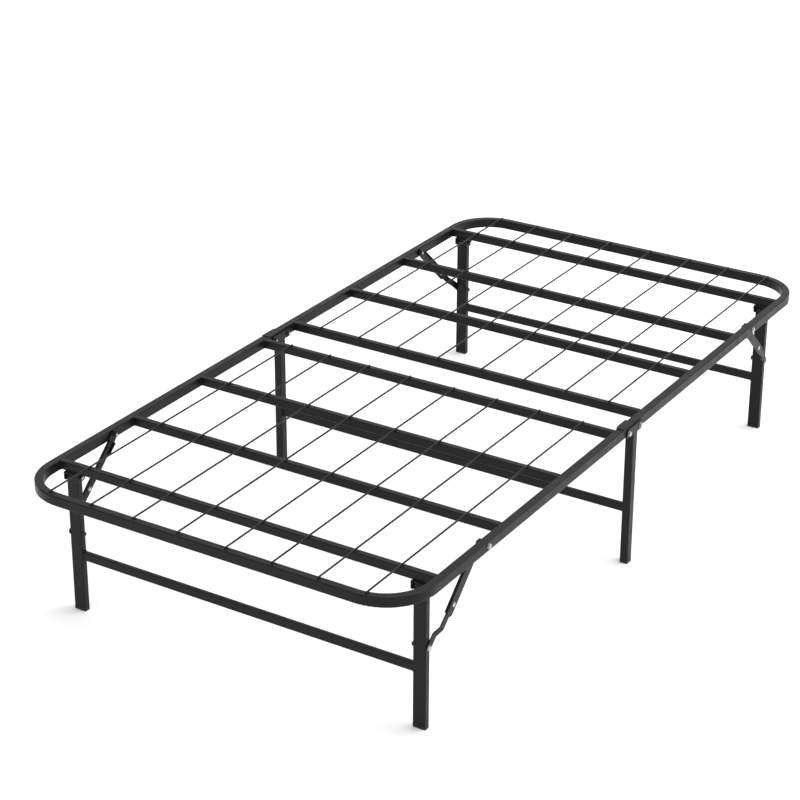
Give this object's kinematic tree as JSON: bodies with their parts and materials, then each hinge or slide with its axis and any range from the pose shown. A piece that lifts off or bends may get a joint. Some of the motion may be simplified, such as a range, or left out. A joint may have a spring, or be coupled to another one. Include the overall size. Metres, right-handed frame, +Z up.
{
  "type": "folding bed frame",
  "caption": "Folding steel twin bed base: two wire-decked halves hinge on a centre stand, with end legs and braces that fold in.",
  "frame": {"origin": "on the floor under the middle of the bed, midway between the two centre hinges", "axes": "+Z up, +Y along the bed from the foot half to the head half, +X across the bed"},
  "size_m": [0.978, 1.905, 0.3596],
  "materials": {
    "powder_coat": "black powder coat, satin, fine orange peel",
    "coated_wire": "black powder coat on drawn wire, satin",
    "zinc": "bright zinc plating",
    "black_plastic": "moulded, matt"
  },
  "bodies": {
    "stand": {"centre_left_leg": "powder_coat", "centre_right_leg": "powder_coat", "centre_crossbar": "powder_coat", "centre_leg_pads": "black_plastic", "left_hinge_bracket": "powder_coat", "right_hinge_bracket": "powder_coat", "hinge_bolts": "zinc", "hinge_nuts": "zinc"},
    "foot_deck": {"foot_rail_tube": "powder_coat", "foot_slat_1": "powder_coat", "foot_slat_2": "powder_coat", "foot_slat_3": "powder_coat", "foot_slat_4": "powder_coat", "foot_wires": "coated_wire", "foot_left_leg_bracket": "powder_coat", "foot_right_leg_bracket": "powder_coat", "foot_leg_pivot_bolts": "zinc", "foot_leg_pivot_nuts": "zinc", "foot_brace_bolts": "zinc", "foot_brace_nuts": "zinc", "hinge_caps": "powder_coat"},
    "foot_legs": {"foot_left_leg": "powder_coat", "foot_right_leg": "powder_coat", "foot_crossbar": "powder_coat", "foot_leg_pads": "black_plastic", "foot_leg_studs": "zinc"},
    "foot_left_upper": {"foot_left_upper_link": "powder_coat", "foot_left_rivet": "zinc"},
    "foot_left_lower": {"foot_left_lower_link": "powder_coat", "foot_left_leg_bolt": "zinc"},
    "foot_right_upper": {"foot_right_upper_link": "powder_coat", "foot_right_rivet": "zinc"},
    "foot_right_lower": {"foot_right_lower_link": "powder_coat", "foot_right_leg_bolt": "zinc"},
    "head_deck": {"head_rail_tube": "powder_coat", "head_slat_1": "powder_coat", "head_slat_2": "powder_coat", "head_slat_3": "powder_coat", "head_slat_4": "powder_coat", "head_wires": "coated_wire", "head_left_leg_bracket": "powder_coat", "head_right_leg_bracket": "powder_coat", "head_leg_pivot_bolts": "zinc", "head_leg_pivot_nuts": "zinc", "head_brace_bolts": "zinc", "head_brace_nuts": "zinc"},
    "head_legs": {"head_left_leg": "powder_coat", "head_right_leg": "powder_coat", "head_crossbar": "powder_coat", "head_leg_pads": "black_plastic", "head_leg_studs": "zinc"},
    "head_left_upper": {"head_left_upper_link": "powder_coat", "head_left_rivet": "zinc"},
    "head_left_lower": {"head_left_lower_link": "powder_coat", "head_left_leg_bolt": "zinc"},
    "head_right_upper": {"head_right_upper_link": "powder_coat", "head_right_rivet": "zinc"},
    "head_right_lower": {"head_right_lower_link": "powder_coat", "head_right_leg_bolt": "zinc"}
  },
  "joints": [
    {"name": "foot_half_fold", "type": "hinge", "parent": "stand", "child": "foot_deck", "pos_m": [0, -0.027, 0.3396], "axis": [1, 0, 0], "range_deg": [0, 90]},
    {"name": "foot_legs_fold", "type": "hinge", "parent": "foot_deck", "child": "foot_legs", "pos_m": [0, -0.8115, 0.3245], "axis": [1, 0, 0], "range_deg": [0, 90]},
    {"name": "foot_left_upper_turn", "type": "hinge", "parent": "foot_deck", "child": "foot_left_upper", "pos_m": [-0.46, -0.6385, 0.344], "axis": [-1, 0, 0], "range_deg": [0, 42.9]},
    {"name": "foot_left_knee_turn", "type": "hinge", "parent": "foot_left_upper", "child": "foot_left_lower", "pos_m": [-0.46, -0.7365, 0.25294], "axis": [1, 0, 0], "range_deg": [0, 170.68]},
    {"name": "foot_right_upper_turn", "type": "hinge", "parent": "foot_deck", "child": "foot_right_upper", "pos_m": [0.46, -0.6385, 0.344], "axis": [-1, 0, 0], "range_deg": [0, 42.9]},
    {"name": "foot_right_knee_turn", "type": "hinge", "parent": "foot_right_upper", "child": "foot_right_lower", "pos_m": [0.46, -0.7365, 0.25294], "axis": [1, 0, 0], "range_deg": [0, 170.68]},
    {"name": "head_half_fold", "type": "hinge", "parent": "stand", "child": "head_deck", "pos_m": [0, 0.027, 0.3396], "axis": [-1, 0, 0], "range_deg": [0, 90]},
    {"name": "head_legs_fold", "type": "hinge", "parent": "head_deck", "child": "head_legs", "pos_m": [0, 0.8115, 0.3245], "axis": [-1, 0, 0], "range_deg": [0, 90]},
    {"name": "head_left_upper_turn", "type": "hinge", "parent": "head_deck", "child": "head_left_upper", "pos_m": [-0.46, 0.6385, 0.344], "axis": [1, 0, 0], "range_deg": [0, 42.9]},
    {"name": "head_left_knee_turn", "type": "hinge", "parent": "head_left_upper", "child": "head_left_lower", "pos_m": [-0.46, 0.7365, 0.25294], "axis": [-1, 0, 0], "range_deg": [0, 170.68]},
    {"name": "head_right_upper_turn", "type": "hinge", "parent": "head_deck", "child": "head_right_upper", "pos_m": [0.46, 0.6385, 0.344], "axis": [1, 0, 0], "range_deg": [0, 42.9]},
    {"name": "head_right_knee_turn", "type": "hinge", "parent": "head_right_upper", "child": "head_right_lower", "pos_m": [0.46, 0.7365, 0.25294], "axis": [-1, 0, 0], "range_deg": [0, 170.68]}
  ],
  "couplings": [
    {"joint": "foot_legs_fold", "follows": "foot_half_fold", "ratio": 1},
    {"joint": "foot_left_upper_turn", "follows": "foot_half_fold", "ratio": 0.47665},
    {"joint": "foot_left_knee_turn", "follows": "foot_half_fold", "ratio": 1.8964},
    {"joint": "foot_right_upper_turn", "follows": "foot_half_fold", "ratio": 0.47665},
    {"joint": "foot_right_knee_turn", "follows": "foot_half_fold", "ratio": 1.8964},
    {"joint": "head_legs_fold", "follows": "head_half_fold", "ratio": 1},
    {"joint": "head_left_upper_turn", "follows": "head_half_fold", "ratio": 0.47665},
    {"joint": "head_left_knee_turn", "follows": "head_half_fold", "ratio": 1.8964},
    {"joint": "head_right_upper_turn", "follows": "head_half_fold", "ratio": 0.47665},
    {"joint": "head_right_knee_turn", "follows": "head_half_fold", "ratio": 1.8964}
  ]
}
